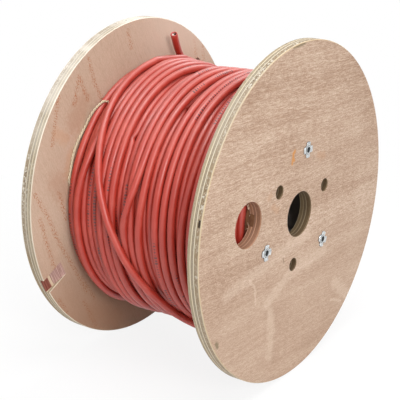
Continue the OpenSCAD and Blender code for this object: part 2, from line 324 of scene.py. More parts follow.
def wind_cable():
    """Lays two layers and the crossing turn on the lower layers, and lets them settle."""
    rng = np.random.default_rng(WIND_SEED)
    under = UNDER_TURNS * STATIONS
    full = under + TOP_TURNS * STATIONS
    count = full + CROSS_STATIONS + 1
    k = np.arange(count)
    angle = START_ANGLE - TAU * k / STATIONS
    edge = INNER - SIDE_GAP - CABLE_R
    y = np.where(k < under, -edge + 2 * edge * k / under,
                 edge - 2 * edge * (k - under) / (full - under))
    y = y + WANDER * smooth_noise(count, WANDER_SPREAD, rng)
    wave = WAVE * smooth_noise(count, WAVE_SPREAD, rng)
    cross = slice(full, count)
    cross_line = crossing_y((k[cross] - full) * 360 / STATIONS)
    y[cross] = cross_line
    floor = floor_r(y, angle)
    r = floor + CABLE_R + np.where(k < under, 0, SECOND_RISE)
    r[cross] = FLOOR_R + CABLE_R + CROSS_RISE
    turns = UNDER_TURNS + TOP_TURNS + 1
    spare = turns * STATIONS - count
    own = np.eye(turns)[:, :, None]
    for step in range(RELAX_ROUNDS):
        settling = step < RELAX_ROUNDS - LAST_ROUNDS
        if step == RELAX_ROUNDS - LAST_ROUNDS:
            y = y + wave
        r = r - PULL
        grid_y = np.concatenate([y, 9 + np.arange(spare)]).reshape(turns, STATIONS)
        grid_r = np.concatenate([r, np.zeros(spare)]).reshape(turns, STATIONS)
        dy = grid_y[:, None, :] - grid_y[None, :, :]
        dr = grid_r[:, None, :] - grid_r[None, :, :]
        gap = np.sqrt(dy * dy + dr * dr) + own
        push = PUSH * np.clip(STRAND_GAP - gap, 0, None) / gap
        grid_y = grid_y + (push * dy).sum(1)
        grid_r = grid_r + (push * dr).sum(1)
        y = grid_y.ravel()[:count]
        r = grid_r.ravel()[:count]
        share = SMOOTH_SHARE if settling else LAST_SMOOTH_SHARE
        y[1:-1] += share * (y[:-2] + y[2:] - 2 * y[1:-1])
        r[1:-1] += share * (r[:-2] + r[2:] - 2 * r[1:-1])
        y = np.clip(y, -edge, edge)
        y[cross] = cross_line
        r = np.maximum(r, floor_r(y, angle) + CABLE_R)
        r[-1] = math.hypot(END_ROUTE[0][0], END_ROUTE[0][2]) / 1000 - 0.0015
    return np.stack([r * np.cos(angle), y, r * np.sin(angle)], axis=1), angle, y, r


def cable_path():
    winding, angle, y, r = wind_cable()
    route = np.array(END_ROUTE) / 1000 + np.array([0, INNER, 0])
    lead = route[0] - 0.008 * (route[1] - route[0]) / np.linalg.norm(route[1] - route[0])
    tail = rounded_line(np.vstack([winding[-3:-1], lead, route]), ROUTE_SPLIT)
    out = route[-1] - route[-2]
    out /= np.linalg.norm(out)
    end = route[-1] + CUT_L * out
    path = np.vstack([winding[:-3], tail[:-1], route[-1], end])
    return path, out, angle, y, r


def build_cable():
    """The whole visible cable, ending in a hollow sheath that shows its two cores."""
    path, out, angle, y, r = cable_path()
    first_up = path[0] * np.array([1, 0, 1])
    sides = CABLE_SIDES
    vertices, faces, uvs = tube_parts(path, CABLE_R, sides, first_up)
    cut = tube_cut(path, out, CABLE_R, sides, first_up)
    vertices = [tuple(v) for v in vertices]
    last = len(vertices) - sides
    faces = faces[:-1]
    uvs = uvs[:-sides]
    for ring_points in cut:
        base = len(vertices)
        vertices += [tuple(v) for v in ring_points]
        before = last
        for k in range(sides):
            m = (k + 1) % sides
            faces.append((before + k, base + k, base + m, before + m))
            uvs += [(0, 0.5)] * 4
        last = base
    faces.append(tuple(last + k for k in range(sides - 1, -1, -1)))
    uvs += [(0, 0.5)] * sides
    made = make_object("cable", vertices, faces, uvs)
    return made, path, angle, y, r


def tube_cut(path, out, radius, sides, first_up):
    """Rings that turn the sheath's end inwards, so that its wall and its hollow show."""
    across, over = carried_frames(path, first_up)
    turn = TAU * np.arange(sides) / sides
    ring = (across[-1][None, :] * np.cos(turn)[:, None]
            + over[-1][None, :] * np.sin(turn)[:, None])
    end = path[-1]
    steps = ((0.00018, radius - 0.0002), (0.0002, radius - 0.0009), (-0.0020, radius - 0.0011))
    return [end + out * rise + ring * r for rise, r in steps]


# ---------------------------------------------------------------- lower layers and side turns

def build_lower_layers():
    """The cable under the two outer layers: a ribbed core between the flanges."""
    side_y = INNER - CABLE_R - 0.0001
    bore_r = DRUM_R + 0.0003
    profile = [("outer", t * side_y) for t in np.linspace(1, -1, LOWER_ROWS)]
    profile += [("front", t) for t in np.linspace(0, 1, LOWER_SIDE_ROWS)]
    profile += [("bore", -side_y), ("bore", side_y)]
    profile += [("rear", t) for t in np.linspace(1, 0, LOWER_SIDE_ROWS)]
    vertices = []
    for i in range(LOWER_AROUND):
        angle = TAU * i / LOWER_AROUND
        for kind, value in profile:
            if kind == "outer":
                rib = RIB_H * abs(math.sin(math.pi * value / RIB_PITCH))
                r = float(floor_r(value, angle)) - RIB_SINK + rib
                y = value
            elif kind == "bore":
                r = bore_r
                y = value
            else:
                sign = -1 if kind == "front" else 1
                top = float(floor_r(sign * side_y, angle)) - RIB_SINK
                r = top + (bore_r - top) * value
                hollow = SIDE_STEP + SIDE_RIB_H * (1 - abs(math.sin(math.pi * r / RIB_PITCH)))
                if kind == "front":
                    hollow += float(set_back(r))
                y = sign * (side_y - hollow)
            vertices.append((r * math.cos(angle), y, r * math.sin(angle)))
    rows = len(profile)
    faces = []
    uvs = []
    for i in range(LOWER_AROUND):
        n = (i + 1) % LOWER_AROUND
        u = 0.9 * i / LOWER_AROUND
        w = 0.9 * (i + 1) / LOWER_AROUND
        for k in range(rows):
            m = (k + 1) % rows
            faces.append((i * rows + k, n * rows + k, n * rows + m, i * rows + m))
            uvs += [(u, k * 0.13), (w, k * 0.13), (w, (k + 1) * 0.13), (u, (k + 1) * 0.13)]
    return make_object("cable_lower_layers", vertices, faces, uvs)


def build_side_turns(name, sign):
    """The turns of the lower layers that lie against one flange, as one spiral."""
    count = SIDE_TURNS * SIDE_STATIONS + 1
    k = np.arange(count)
    angle = START_ANGLE - TAU * k / SIDE_STATIONS
    rng = np.random.default_rng(5 + sign)
    r = DRUM_R + CABLE_R + 0.0006 + SIDE_PITCH * k / SIDE_STATIONS + 0.0002 * smooth_noise(count, 12, rng)
    back = 0.0006 * np.abs(smooth_noise(count, 14, rng))
    if sign < 0:
        back = back + set_back(r)
    y = sign * (INNER - SIDE_GAP - CABLE_R - back)
    points = np.stack([r * np.cos(angle), y, r * np.sin(angle)], axis=1)
    first_up = points[0] * np.array([1, 0, 1])
    return make_object(name, *tube_parts(points, CABLE_R, SIDE_SIDES, first_up))


# ---------------------------------------------------------------- geometry trees

def new_tree(name, takes):
    """An empty geometry tree that takes Geometry and the named values, and its two ends."""
    tree = bpy.data.node_groups.new(name, "GeometryNodeTree")
    tree.interface.new_socket(name="Geometry", in_out="INPUT", socket_type="NodeSocketGeometry")
    for title, kind in takes:
        tree.interface.new_socket(name=title, in_out="INPUT", socket_type=kind)
    tree.interface.new_socket(name="Geometry", in_out="OUTPUT", socket_type="NodeSocketGeometry")
    return tree, tree.nodes.new("NodeGroupInput").outputs


def end_tree(tree, geometry, finish):
    """Real meshes out of the instances, in their finish."""
    real = put(tree, "GeometryNodeRealizeInstances", {"Geometry": geometry}).outputs[0]
    done = put(tree, "GeometryNodeSetMaterial", {"Geometry": real, "Material": finish}).outputs[0]
    put(tree, "NodeGroupOutput", {"Geometry": done})


def run_tree(piece, tree, **values):
    """Leaves the piece with the tree's result as its plain mesh; _ stands for a space."""
    modifier = piece.modifiers.new(tree.name, "NODES")
    modifier.node_group = tree
    for socket in tree.interface.items_tree:
        title = socket.name.replace(" ", "_")
        if socket.in_out == "INPUT" and title in values:
            modifier[socket.identifier] = values[title]
    graph = bpy.context.evaluated_depsgraph_get()
    result = bpy.data.meshes.new_from_object(
        piece.evaluated_get(graph), preserve_all_data_layers=True, depsgraph=graph)
    piece.modifiers.remove(modifier)
    plain = piece.data
    piece.data = result
    bpy.data.meshes.remove(plain)
    result.name = piece.name
    return piece


def round_y(tree, angle):
    return put(tree, "ShaderNodeCombineXYZ", {"Y": angle}).outputs[0]


# ---------------------------------------------------------------- twine

def twine_tree():
    """Plies twisted round each other along a line of edges, each one a thin tube.

    The line's points hold "side", the way in which the first ply starts to lean.
    """
    tree, take = new_tree("twisted_plies", [
        ("Plies", "NodeSocketInt"), ("Ply Radius", "NodeSocketFloat"),
        ("Twist Length", "NodeSocketFloat"), ("Sides", "NodeSocketInt"),
        ("Finish", "NodeSocketMaterial")])

    def vector(operation, first, second=None, scale=None):
        inputs = {0: first}
        if second is not None:
            inputs[1] = second
        if scale is not None:
            inputs["Scale"] = scale
        return put(tree, "ShaderNodeVectorMath", inputs, operation=operation).outputs["Vector"]

    line = put(tree, "GeometryNodeMeshToCurve", {"Mesh": take["Geometry"]}).outputs["Curve"]
    plies = put(tree, "GeometryNodeDuplicateElements",
                {"Geometry": line, "Amount": take["Plies"]}, domain="SPLINE")
    length = put(tree, "GeometryNodeSplineParameter").outputs["Length"]
    share = calc(tree, "DIVIDE", plies.outputs["Duplicate Index"], take["Plies"])
    share = calc(tree, "ADD", share, calc(tree, "DIVIDE", length, take["Twist Length"]))
    turn = calc(tree, "MULTIPLY", share, TAU)
    side = put(tree, "GeometryNodeInputNamedAttribute", {"Name": "side"},
               data_type="FLOAT_VECTOR").outputs["Attribute"]
    tangent = put(tree, "GeometryNodeInputTangent").outputs["Tangent"]
    over = vector("CROSS_PRODUCT", side, tangent)
    lean = vector("ADD", vector("SCALE", side, scale=calc(tree, "COSINE", turn)),
                  vector("SCALE", over, scale=calc(tree, "SINE", turn)))
    offset = vector("SCALE", lean, scale=take["Ply Radius"])
    twisted = put(tree, "GeometryNodeSetPosition",
                  {"Geometry": plies.outputs["Geometry"], "Offset": offset}).outputs[0]
    along = put(tree, "GeometryNodeSplineParameter").outputs["Length"]
    twisted = put(tree, "GeometryNodeStoreNamedAttribute",
                  {"Geometry": twisted, "Name": "ply_along", "Value": along},
                  data_type="FLOAT", domain="POINT").outputs[0]
    ring = put(tree, "GeometryNodeCurvePrimitiveCircle",
               {"Resolution": take["Sides"], "Radius": take["Ply Radius"]}).outputs["Curve"]
    around = put(tree, "GeometryNodeSplineParameter").outputs["Factor"]
    ring = put(tree, "GeometryNodeStoreNamedAttribute",
               {"Geometry": ring, "Name": "ply_round", "Value": around},
               data_type="FLOAT", domain="POINT").outputs[0]
    tubes = put(tree, "GeometryNodeCurveToMesh",
                {"Curve": twisted, "Profile Curve": ring, "Fill Caps": True}).outputs["Mesh"]
    tubes = put(tree, "GeometryNodeSetShadeSmooth", {"Geometry": tubes}).outputs[0]
    end_tree(tree, tubes, take["Finish"])
    return tree


def twine_line(angle, y, r):
    """The twine's route, kept on top of the edge strands; its ends sink between them."""
    route_spots, route_y, route_r = np.array(TWINE_ROUTE).T
    spots = np.radians(np.linspace(route_spots[0], route_spots[-1], TWINE_POINTS))
    spots_y = np.interp(spots, np.radians(route_spots), route_y / 1000)
    spots_r = np.interp(spots, np.radians(route_spots), route_r / 1000)
    near_rear = np.arange((UNDER_TURNS - 2) * STATIONS, (UNDER_TURNS + 3) * STATIONS)
    reach = CABLE_R + 2 * PLY_R + 0.0002
    line = []
    for spot, place_y, place_r in zip(spots, spots_y, spots_r):
        off = np.abs(np.mod(angle[near_rear] - spot + math.pi, TAU) - math.pi)
        best = place_r
        for i in near_rear[off < TAU / STATIONS * 1.01]:
            dy = place_y - y[i]
            if abs(dy) < reach:
                best = max(best, r[i] + math.sqrt(reach ** 2 - dy ** 2))
        line.append(best)
    sink = 0.0075 * ease((math.radians(125) - spots) / math.radians(3))
    sink = sink + 0.0060 * ease((spots - math.radians(165)) / math.radians(6))
    line = np.convolve(np.pad(line, 6, "edge"), np.ones(13) / 13, "valid") + 0.0003 - sink
    points = np.stack([line * np.cos(spots), spots_y, line * np.sin(spots)], axis=1)
    return rounded_line(points, 3)


def build_twine(points, finish):
    """Two-ply twine between the winding and the rear flange."""
    mesh = bpy.data.meshes.new("twine")
    mesh.from_pydata([tuple(p) for p in points], [(i, i + 1) for i in range(len(points) - 1)], [])
    sides, _ = carried_frames(points, points[0] * np.array([1, 0, 1]))
    layer = mesh.attributes.new("side", "FLOAT_VECTOR", "POINT")
    layer.data.foreach_set("vector", sides.astype(np.float32).ravel())
    twine = bpy.data.objects.new("twine", mesh)
    scene.collection.objects.link(twine)
    return run_tree(twine, twine_tree(), Plies=2, Ply_Radius=PLY_R, Twist_Length=PLY_TWIST,
                    Sides=PLY_SIDES, Finish=finish)


# ---------------------------------------------------------------- tee nuts, splinters

def nut_tree():
    """Prongs evenly round a nut's axis; the nut is then turned and put on the nuts' circle."""
    tree, take = new_tree("pronged_nut", [
        ("Prong", "NodeSocketObject"), ("Prongs", "NodeSocketInt"),
        ("Own Turn", "NodeSocketFloat"), ("Circle Radius", "NodeSocketFloat"),
        ("Face Y", "NodeSocketFloat"), ("Circle Turn", "NodeSocketFloat"),
        ("Finish", "NodeSocketMaterial")])
    prong = put(tree, "GeometryNodeObjectInfo", {"Object": take["Prong"]}).outputs["Geometry"]
    spots = put(tree, "GeometryNodePoints", {"Count": take["Prongs"]}).outputs[0]
    share = calc(tree, "DIVIDE", put(tree, "GeometryNodeInputIndex").outputs[0], take["Prongs"])
    ring = put(tree, "GeometryNodeInstanceOnPoints",
               {"Points": spots, "Instance": prong,
                "Rotation": round_y(tree, calc(tree, "MULTIPLY", share, -TAU))}).outputs[0]
    nut = tree.nodes.new("GeometryNodeJoinGeometry")
    tree.links.new(ring, nut.inputs[0])
    tree.links.new(take["Geometry"], nut.inputs[0])
    place = put(tree, "ShaderNodeCombineXYZ",
                {"X": take["Circle Radius"], "Y": take["Face Y"]}).outputs[0]
    placed = put(tree, "GeometryNodeTransform",
                 {"Geometry": nut.outputs[0], "Translation": place,
                  "Rotation": round_y(tree, take["Own Turn"])}).outputs[0]
    placed = put(tree, "GeometryNodeTransform",
                 {"Geometry": placed, "Rotation": round_y(tree, take["Circle Turn"])}).outputs[0]
    end_tree(tree, placed, take["Finish"])
    return tree


def with_shade_and_grime(piece, shade_and_grime_shares):
    # each point's share of painted shade and grime, highest in recesses
    layer = piece.data.attributes.new("grime", "FLOAT", "POINT")
    layer.data.foreach_set("value", np.clip(shade_and_grime_shares, 0, 1).astype(np.float32))
    return piece


def build_prong():
    """One bent prong at +X, out from the nut's axis, its root at the plate."""
    vertices = []
    faces = []
    for height, near, far, half in PRONG_ROWS:
        for radius, side in ((near, -half), (far, -half), (far, half), (near, half)):
            vertices.append((radius / 1000, -height / 1000, side / 1000))
    last = 4 * (len(PRONG_ROWS) - 1)
    for base in range(0, last, 4):
        for k in range(4):
            m = (k + 1) % 4
            faces.append((base + k, base + 4 + k, base + 4 + m, base + m))
    faces.append((0, 1, 2, 3))
    faces.append((last + 3, last + 2, last + 1, last))
    # the prong is darkened with painted shade and grime
    return with_shade_and_grime(make_object("prong", vertices, faces), np.full(len(vertices), PRONG_SHADE_AND_GRIME))


def build_nut_plate(name):
    """A four-lobed plate with a rolled mouth and a threaded barrel, its axis on Y."""
    around = NUT_AROUND
    turn = TAU * np.arange(around) / around
    off_axis = np.abs(np.mod(turn + math.pi / 4, math.pi / 2) - math.pi / 4)
    lobe = ease((np.degrees(off_axis) - 11) / 11)
    reach = 6.9 + 2.6 * lobe
    # rings as radius and height over the wood, in mm, and the share of painted shade and grime; the bore
    # first
    rings = [(3.05, -9.9, 1.0), (3.05, -2.6, 1.0)]
    for step in np.arange(-2.5, 0.45, 0.2):
        winds = np.mod(turn / TAU + step, 1)
        rings.append((3.05 + 0.30 * np.abs(1 - 2 * winds), step, 1.0))
    rings += [(3.25, 0.75, 1.0), (3.5, 1.15, 0.5), (3.95, 1.38, 0.0), (4.4, 1.22, 0.1),
              (4.75, 0.85, 0.8), (5.2, 0.80, 0.5)]
    for share, on_lobe, in_slot, grime in ((0.3, 1.10, 0.75, 0.1), (0.55, 1.36, 0.65, 0.0),
                                           (0.8, 1.34, 0.45, 0.0), (0.93, 1.15, 0.25, 0.1),
                                           (1.0, 0.75, 0.10, 0.6)):
        radius = 5.2 + (reach - 5.2) * share
        height = in_slot + (on_lobe - in_slot) * lobe
        rings.append((radius, height, grime + 0.7 * (1 - lobe) * share))
    rings += [(reach, 0.04, 1.0), (reach - 0.15, 0.0, 1.0), (4.2, 0.0, 1.0), (4.0, -0.2, 1.0),
              (4.0, -9.8, 1.0), (3.8, -10.0, 1.0), (3.2, -10.0, 1.0)]
    points = []
    shade_and_grime_shares = []
    for radius, height, grime in rings:
        height = np.broadcast_to(height, turn.shape)
        points.append(np.stack([radius * np.cos(turn), -height, radius * np.sin(turn)], axis=1))
        shade_and_grime_shares.append(np.broadcast_to(grime, turn.shape))
    faces = []
    for i in range(len(rings)):
        n = (i + 1) % len(rings)
        for k in range(around):
            m = (k + 1) % around
            faces.append((i * around + k, n * around + k, n * around + m, i * around + m))
    plate = make_object(name, np.concatenate(points) / 1000, faces)
    return with_shade_and_grime(plate, np.concatenate(shade_and_grime_shares))


def build_tee_nut(name, number, tree, prong, finish):
    """One of the three tee nuts on the drilled flange, a third of a turn apart."""
    angle = math.radians(NUT_ANGLE + 120 * (number - 1))
    own_turn = math.radians(NUT_OWN_TURNS[number - 1])
    return run_tree(build_nut_plate(name), tree, Prong=prong, Prongs=PRONGS, Own_Turn=-own_turn,
                    Circle_Radius=NUT_CIRCLE, Face_Y=-OUTER, Circle_Turn=-angle, Finish=finish)


def build_splinters():
    """Torn slivers of veneer that curl off the inner edge of the access hole."""
    rng = np.random.default_rng(21)
    parts = []
    for angle, lift, length, curl, width in SLIVERS:
        start = math.radians(angle)
        spot = np.array([ACCESS_AT[0], -INNER - lift / 1000, ACCESS_AT[1]])
        spot = spot + (ACCESS_R + 0.0004) * np.array([math.cos(start), 0, math.sin(start)])
        heading = start + math.pi - 0.5 * curl
        points = [spot]
        stride = length / 1000 / SLIVER_STEPS
        for _ in range(SLIVER_STEPS):
            heading += curl * 2.2 / SLIVER_STEPS + 0.05 * float(rng.standard_normal())
            ahead = np.array([math.cos(heading), -0.25, math.sin(heading)])
            points.append(points[-1] + stride * ahead)
        taper = width / 1000 * (1 - 0.75 * np.linspace(0, 1, SLIVER_STEPS + 1) ** 2)
        parts.append(tube_parts(points, taper, 6, (0, 1, 0)))
    return make_object("hole_splinters", *join_parts(parts))


# ---------------------------------------------------------------- shader helpers

def linear(red, green, blue):
    """A colour read off a screen, 0 to 255, as the linear colour a shader takes."""
    out = []
    for part in (red, green, blue):
        part /= 255
        out.append(part / 12.92 if part <= 0.04045 else ((part + 0.055) / 1.055) ** 2.4)
    return (*out, 1.0)


def scaled(tree, vector, factors):
    inputs = {0: vector, 1: factors}
    return put(tree, "ShaderNodeVectorMath", inputs, operation="MULTIPLY").outputs[0]


def noise(tree, vector, scale, detail=2.0, roughness=0.5, distortion=0.0):
    inputs = {"Vector": vector, "Scale": scale, "Detail": detail,
              "Roughness": roughness, "Distortion": distortion}
    return put(tree, "ShaderNodeTexNoise", inputs).outputs["Fac"]


def between(tree, value, low, high, to_low=0.0, to_high=1.0):
    """A soft step of a value, from to_low at low to to_high at high."""
    inputs = {"Value": value, "From Min": low, "From Max": high,
              "To Min": to_low, "To Max": to_high}
    made = put(tree, "ShaderNodeMapRange", inputs, interpolation_type="SMOOTHSTEP")
    return made.outputs["Result"]


def blend(tree, share, first, second, kind="MIX"):
    inputs = {0: share, 6: first, 7: second}
    made = put(tree, "ShaderNodeMix", inputs, data_type="RGBA", blend_type=kind)
    return made.outputs[2]


def ramp(tree, value, stops):
    made = put(tree, "ShaderNodeValToRGB", {0: value})
    band = made.color_ramp
    while len(band.elements) < len(stops):
        band.elements.new(0.5)
    for element, (place, colour) in zip(band.elements, stops):
        element.position = place
        element.color = colour
    return made.outputs[0]


# The boards' wood, from dark to pale, and the shade inside their holes
FRONT_PALETTE = (linear(154, 123, 101), linear(176, 148, 127), linear(190, 164, 143),
                 linear(208, 185, 166))
REAR_PALETTE = (linear(180, 152, 130), linear(191, 165, 143), linear(199, 174, 153),
                linear(207, 183, 163))
FRONT_HOLE_TINT = linear(166, 154, 140)
REAR_HOLE_TINT = linear(150, 138, 122)
ACCESS_TINT = linear(230, 194, 182)

# Where the front flange's rim has its void, as x and z
VOID_AT = (-0.1940, 0.0480, 0)

# The sheath's ink: a tick's length of cable, the length over which runs repeat, the bare share
INK_CELL = 0.0036
INK_REPEAT = 0.62
INK_BARE = 0.76


def new_material(name):
    made = bpy.data.materials.new(name)
    made.use_nodes = True
    tree = made.node_tree
    tree.nodes.clear()
    shader = tree.nodes.new("ShaderNodeBsdfPrincipled")
    output = tree.nodes.new("ShaderNodeOutputMaterial")
    tree.links.new(shader.outputs[0], output.inputs["Surface"])
    return made, tree, shader


def feed(tree, shader, **inputs):
    """Links or sets the shader's inputs; an underscore stands for a space in a name."""
    for name, value in inputs.items():
        socket = shader.inputs[name.replace("_", " ")]
        if isinstance(value, bpy.types.NodeSocket):
            tree.links.new(value, socket)
        else:
            socket.default_value = value


def bump(tree, height, strength, distance):
    inputs = {"Height": height, "Strength": strength, "Distance": distance}
    return put(tree, "ShaderNodeBump", inputs).outputs[0]


def new_group(name, takes, gives):
    group = bpy.data.node_groups.new(name, "ShaderNodeTree")
    for title, kind in takes:
        group.interface.new_socket(name=title, in_out="INPUT", socket_type=kind)
    for title, kind in gives:
        group.interface.new_socket(name=title, in_out="OUTPUT", socket_type=kind)
    start = group.nodes.new("NodeGroupInput")
    finish = group.nodes.new("NodeGroupOutput")
    return group, start, finish


def use_group(tree, group, **inputs):
    made = tree.nodes.new("ShaderNodeGroup")
    made.node_tree = group
    feed(tree, made, **inputs)
    return made


# ---------------------------------------------------------------- plywood

def centred(tree, value, amount):
    """A 0-to-1 noise as a swing of some amount each way."""
    return calc(tree, "MULTIPLY_ADD", value, 2 * amount, -amount)


def veneer_group():
    """Face veneer: Place has X along the grain. Tone is the wood's lightness, round 0.5."""
    group, start, finish = new_group(
        "veneer", [("Place", "NodeSocketVector")],
        [("Tone", "NodeSocketFloat"), ("Pores", "NodeSocketFloat")])
    place = start.outputs["Place"]
    bend = centred(group, noise(group, scaled(group, place, (3.0, 6.0, 1)), 1.0, 2.0), 0.011)
    shift = put(group, "ShaderNodeCombineXYZ", {"Y": bend}).outputs[0]
    warped = put(group, "ShaderNodeVectorMath", {0: place, 1: shift}, operation="ADD").outputs[0]
    band = noise(group, scaled(group, warped, (2.2, 36, 1)), 1.0, 2.0, 0.5)
    streak = noise(group, scaled(group, warped, (9, 210, 1)), 1.0, 3.0, 0.6)
    fibre = noise(group, scaled(group, warped, (120, 620, 1)), 1.0, 3.0, 0.65)
    fuzz = noise(group, scaled(group, warped, (420, 760, 1)), 1.0, 2.0, 0.6)
    cloud = noise(group, place, 9.0, 3.0, 0.55)
    tone = calc(group, "ADD", centred(group, streak, 0.29), centred(group, fibre, 0.64))
    tone = calc(group, "ADD", tone, centred(group, fuzz, 0.66))
    tone = calc(group, "ADD", tone, centred(group, cloud, 0.34))
    tone = calc(group, "ADD", tone, calc(group, "MULTIPLY_ADD", band, 0.62, 0.19), clamp=True)
    speck = noise(group, scaled(group, warped, (90, 640, 1)), 1.0, 2.0, 0.5)
    patch = between(group, noise(group, place, 11.0, 2.0), 0.40, 0.62)
    pores = calc(group, "MULTIPLY", between(group, speck, 0.57, 0.68), patch)
    group.links.new(tone, finish.inputs["Tone"])
    group.links.new(pores, finish.inputs["Pores"])
    return group


def ply_group():
    """Cut edge: Depth runs from 0 to 1 through the board, from the inner face to the outer."""
    group, start, finish = new_group(
        "ply_edge", [("Depth", "NodeSocketFloat"), ("Place", "NodeSocketVector"),
                     ("Rough", "NodeSocketFloat")],
        [("Color", "NodeSocketColor"), ("Height", "NodeSocketFloat")])
    place = start.outputs["Place"]
    wander = noise(group, scaled(group, place, (12, 30, 12)), 1.0, 2.0)
    shiver = noise(group, scaled(group, place, (160, 160, 160)), 1.0, 2.0)
    depth = calc(group, "ADD", start.outputs["Depth"], centred(group, wander, 0.035))
    depth = calc(group, "ADD", depth, centred(group, shiver, 0.012))
    pale = linear(226, 216, 196)
    cream = linear(214, 200, 172)
    tan = linear(166, 150, 124)
    grey = linear(150, 136, 116)
    brown = linear(150, 130, 104)
    glue = linear(96, 78, 58)
    layers = ramp(group, depth, [
        (0.00, pale), (0.055, pale), (0.075, glue), (0.09, tan), (0.215, tan), (0.235, glue),
        (0.25, cream), (0.34, cream), (0.355, glue), (0.37, grey), (0.50, grey), (0.52, glue),
        (0.535, pale), (0.60, cream), (0.62, glue), (0.64, brown), (0.87, brown), (0.885, glue),
        (0.90, cream), (1.0, linear(196, 168, 132))])
    rough_ply = ramp(group, depth, [
        (0.00, (0, 0, 0, 1)), (0.07, (0, 0, 0, 1)), (0.09, (0.3, 0.3, 0.3, 1)),
        (0.215, (0.3, 0.3, 0.3, 1)), (0.24, (0, 0, 0, 1)), (0.36, (0, 0, 0, 1)),
        (0.38, (0.45, 0.45, 0.45, 1)), (0.50, (0.45, 0.45, 0.45, 1)), (0.53, (0, 0, 0, 1)),
        (0.62, (0, 0, 0, 1)), (0.64, (1, 1, 1, 1)), (0.87, (1, 1, 1, 1)),
        (0.90, (0.2, 0.2, 0.2, 1))])
    fleck = noise(group, scaled(group, place, (480, 620, 480)), 1.0, 3.0, 0.6)
    chip = noise(group, scaled(group, place, (330, 430, 330)), 1.0, 3.0, 0.65)
    patch = between(group, noise(group, place, 16.0, 2.0), 0.38, 0.60, 0.30, 1.0)
    rough = calc(group, "MULTIPLY", rough_ply, patch)
    rough = calc(group, "MULTIPLY", rough, start.outputs["Rough"])
    dark = calc(group, "MULTIPLY", between(group, fleck, 0.47, 0.60), rough)
    light = calc(group, "MULTIPLY", between(group, chip, 0.51, 0.60), rough)
    lines = noise(group, scaled(group, place, (22, 1100, 22)), 1.0, 3.0, 0.6)
    colour = blend(group, between(group, lines, 0.38, 0.70, 0.0, 0.40), layers, tan)
    tint = noise(group, scaled(group, place, (13, 13, 13)), 1.0, 2.0)
    colour = blend(group, between(group, tint, 0.45, 0.62, 0.0, 0.35), colour, linear(186, 174, 158))
    colour = blend(group, calc(group, "MULTIPLY", dark, 0.75), colour, linear(104, 84, 62))
    colour = blend(group, calc(group, "MULTIPLY", light, 0.85), colour, linear(232, 226, 212))
    height = calc(group, "SUBTRACT", lines, calc(group, "MULTIPLY", dark, 1.3))
    height = calc(group, "ADD", height, calc(group, "MULTIPLY", light, 0.7))
    group.links.new(colour, finish.inputs["Color"])
    group.links.new(height, finish.inputs["Height"])
    return group


def stroke_group():
    """Share is 1 on the straight from Start to End and falls to 0 at Width, raggedly."""
    group, start, finish = new_group(
        "stroke", [("Place", "NodeSocketVector"), ("Start", "NodeSocketVector"),
                   ("End", "NodeSocketVector"), ("Width", "NodeSocketFloat"),
                   ("Ragged", "NodeSocketFloat")], [("Share", "NodeSocketFloat")])

    def vector(operation, first, second, output=0):
        inputs = {0: first, 1: second}
        return put(group, "ShaderNodeVectorMath", inputs, operation=operation).outputs[output]

    take = start.outputs
    run = vector("SUBTRACT", take["End"], take["Start"])
    off = vector("SUBTRACT", take["Place"], take["Start"])
    share = calc(group, "DIVIDE", vector("DOT_PRODUCT", off, run, "Value"),
                 vector("DOT_PRODUCT", run, run, "Value"), clamp=True)
    along = put(group, "ShaderNodeVectorMath", {0: run, "Scale": share}, operation="SCALE").outputs[0]
    gap = put(group, "ShaderNodeVectorMath", {0: off, 1: along}, operation="DISTANCE").outputs["Value"]
    wobble = calc(group, "SUBTRACT", noise(group, take["Place"], 170.0, 3.0, 0.6), 0.5)
    gap = calc(group, "ADD", gap, calc(group, "MULTIPLY", wobble, take["Ragged"]))
    mask = between(group, calc(group, "DIVIDE", gap, take["Width"]), 1.0, 0.25)
    group.links.new(mask, finish.inputs["Share"])
    return group


def marks(tree, stroke, place, lines, width, ragged):
    """One mask for lines on a face; each line is a row of (x, z) places in mm."""
    total = None
    for line in lines:
        spots = line if len(line) > 1 else line * 2
        for (x0, z0), (x1, z1) in zip(spots, spots[1:]):
            node = use_group(tree, stroke, Place=place, Start=(x0 / 1000, z0 / 1000, 0),
                             End=(x1 / 1000 + 1e-5, z1 / 1000, 0), Width=width, Ragged=ragged)
            share = node.outputs["Share"]
            total = share if total is None else calc(tree, "MAXIMUM", total, share)
    return total


def face_place(tree, parts):
    """A place on the boards' faces, as x and z."""
    return put(tree, "ShaderNodeCombineXYZ", {"X": parts["X"], "Y": parts["Z"]}).outputs[0]


def tinted(tree, share, amount, face, colour, kind="MIX"):
    return blend(tree, calc(tree, "MULTIPLY", share, amount), face, colour, kind)


